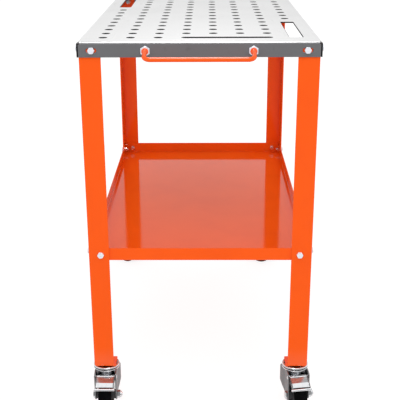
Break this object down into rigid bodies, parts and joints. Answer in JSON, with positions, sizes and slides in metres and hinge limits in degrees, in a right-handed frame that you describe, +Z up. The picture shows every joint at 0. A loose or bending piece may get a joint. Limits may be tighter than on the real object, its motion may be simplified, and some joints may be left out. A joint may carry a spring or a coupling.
{
  "type": "mobile welding table",
  "caption": "Perforated folded-steel welding table on angle legs, with a tray shelf, a push handle and braked swivel casters.",
  "frame": {"origin": "on the floor, under the middle of the box around the whole table as it stands", "axes": "+Z up, +Y from the handle end to the rear along the top's length, +X to the right seen from the handle end"},
  "size_m": [0.5774, 0.982, 0.8894],
  "materials": {
    "steel_top": "light grey zinc-plated sheet with a fine satin grain",
    "orange_coat": "glossy orange powder coat",
    "zinc": "pale zinc plating on bolts and nuts",
    "chrome": "bright chrome plating with a brushed grain on the fork cheeks",
    "nylon": "dark moulded nylon",
    "rubber": "smooth black solid tread"
  },
  "bodies": {
    "table": {"caster_stem_front_left": "chrome", "caster_stem_front_right": "chrome", "caster_stem_rear_left": "chrome", "caster_stem_rear_right": "chrome", "flange_bolt_front_left_end": "zinc", "flange_bolt_front_left_side": "zinc", "flange_bolt_front_right_end": "zinc", "flange_bolt_front_right_side": "zinc", "flange_bolt_rear_left_end": "zinc", "flange_bolt_rear_left_side": "zinc", "flange_bolt_rear_right_end": "zinc", "flange_bolt_rear_right_side": "zinc", "handle_nut_inner_left": "zinc", "handle_nut_inner_right": "zinc", "handle_nut_outer_left": "zinc", "handle_nut_outer_right": "zinc", "leg_front_left": "orange_coat", "leg_front_right": "orange_coat", "leg_rear_left": "orange_coat", "leg_rear_right": "orange_coat", "lower_shelf": "orange_coat", "push_handle": "orange_coat", "shelf_bolt_front_left_end": "zinc", "shelf_bolt_front_left_side": "zinc", "shelf_bolt_front_right_end": "zinc", "shelf_bolt_front_right_side": "zinc", "shelf_bolt_rear_left_end": "zinc", "shelf_bolt_rear_left_side": "zinc", "shelf_bolt_rear_right_end": "zinc", "shelf_bolt_rear_right_side": "zinc", "stem_nut_front_left": "zinc", "stem_nut_front_right": "zinc", "stem_nut_rear_left": "zinc", "stem_nut_rear_right": "zinc", "table_top": "steel_top"},
    "fork_front_left": {"axle_bolt_front_left": "zinc", "bearing_ring_front_left": "chrome", "fork_front_left": "chrome"},
    "wheel_front_left": {"tyre_front_left": "rubber", "wheel_hub_front_left": "nylon"},
    "pedal_front_left": {"brake_pedal_front_left": "chrome"},
    "fork_front_right": {"axle_bolt_front_right": "zinc", "bearing_ring_front_right": "chrome", "fork_front_right": "chrome"},
    "wheel_front_right": {"tyre_front_right": "rubber", "wheel_hub_front_right": "nylon"},
    "pedal_front_right": {"brake_pedal_front_right": "chrome"},
    "fork_rear_right": {"axle_bolt_rear_right": "zinc", "bearing_ring_rear_right": "chrome", "fork_rear_right": "chrome"},
    "wheel_rear_right": {"tyre_rear_right": "rubber", "wheel_hub_rear_right": "nylon"},
    "pedal_rear_right": {"brake_pedal_rear_right": "chrome"},
    "fork_rear_left": {"axle_bolt_rear_left": "zinc", "bearing_ring_rear_left": "chrome", "fork_rear_left": "chrome"},
    "wheel_rear_left": {"tyre_rear_left": "rubber", "wheel_hub_rear_left": "nylon"},
    "pedal_rear_left": {"brake_pedal_rear_left": "chrome"}
  },
  "joints": [
    {"name": "swivel_front_left", "type": "hinge", "parent": "table", "child": "fork_front_left", "pos_m": [-0.21552, -0.4119, 0.10828], "axis": [0, 0, 1], "continuous": true},
    {"name": "roll_front_left", "type": "hinge", "parent": "fork_front_left", "child": "wheel_front_left", "pos_m": [-0.21552, -0.4419, 0.03718], "axis": [1, 0, 0], "continuous": true},
    {"name": "brake_front_left", "type": "hinge", "parent": "fork_front_left", "child": "pedal_front_left", "pos_m": [-0.21552, -0.4459, 0.08668], "axis": [1, 0, 0], "range_deg": [0, 11]},
    {"name": "swivel_front_right", "type": "hinge", "parent": "table", "child": "fork_front_right", "pos_m": [0.24429, -0.4119, 0.10828], "axis": [0, 0, 1], "continuous": true},
    {"name": "roll_front_right", "type": "hinge", "parent": "fork_front_right", "child": "wheel_front_right", "pos_m": [0.24913, -0.4415, 0.03718], "axis": [0.9869, 0.1616, 0], "continuous": true},
    {"name": "brake_front_right", "type": "hinge", "parent": "fork_front_right", "child": "pedal_front_right", "pos_m": [0.24978, -0.44545, 0.08668], "axis": [0.9869, 0.1616, 0], "range_deg": [0, 11]},
    {"name": "swivel_rear_right", "type": "hinge", "parent": "table", "child": "fork_rear_right", "pos_m": [0.24429, 0.4395, 0.10828], "axis": [0, 0, 1], "continuous": true},
    {"name": "roll_rear_right", "type": "hinge", "parent": "fork_rear_right", "child": "wheel_rear_right", "pos_m": [0.21575, 0.44877, 0.03718], "axis": [-0.309, -0.9511, 0], "continuous": true},
    {"name": "brake_rear_right", "type": "hinge", "parent": "fork_rear_right", "child": "pedal_rear_right", "pos_m": [0.21195, 0.45001, 0.08668], "axis": [-0.309, -0.9511, 0], "range_deg": [0, 11]},
    {"name": "swivel_rear_left", "type": "hinge", "parent": "table", "child": "fork_rear_left", "pos_m": [-0.21552, 0.4395, 0.10828], "axis": [0, 0, 1], "continuous": true},
    {"name": "roll_rear_left", "type": "hinge", "parent": "fork_rear_left", "child": "wheel_rear_left", "pos_m": [-0.2427, 0.45218, 0.03718], "axis": [-0.4226, -0.9063, 0], "continuous": true},
    {"name": "brake_rear_left", "type": "hinge", "parent": "fork_rear_left", "child": "pedal_rear_left", "pos_m": [-0.24633, 0.45387, 0.08668], "axis": [-0.4226, -0.9063, 0], "range_deg": [0, 11]}
  ]
}
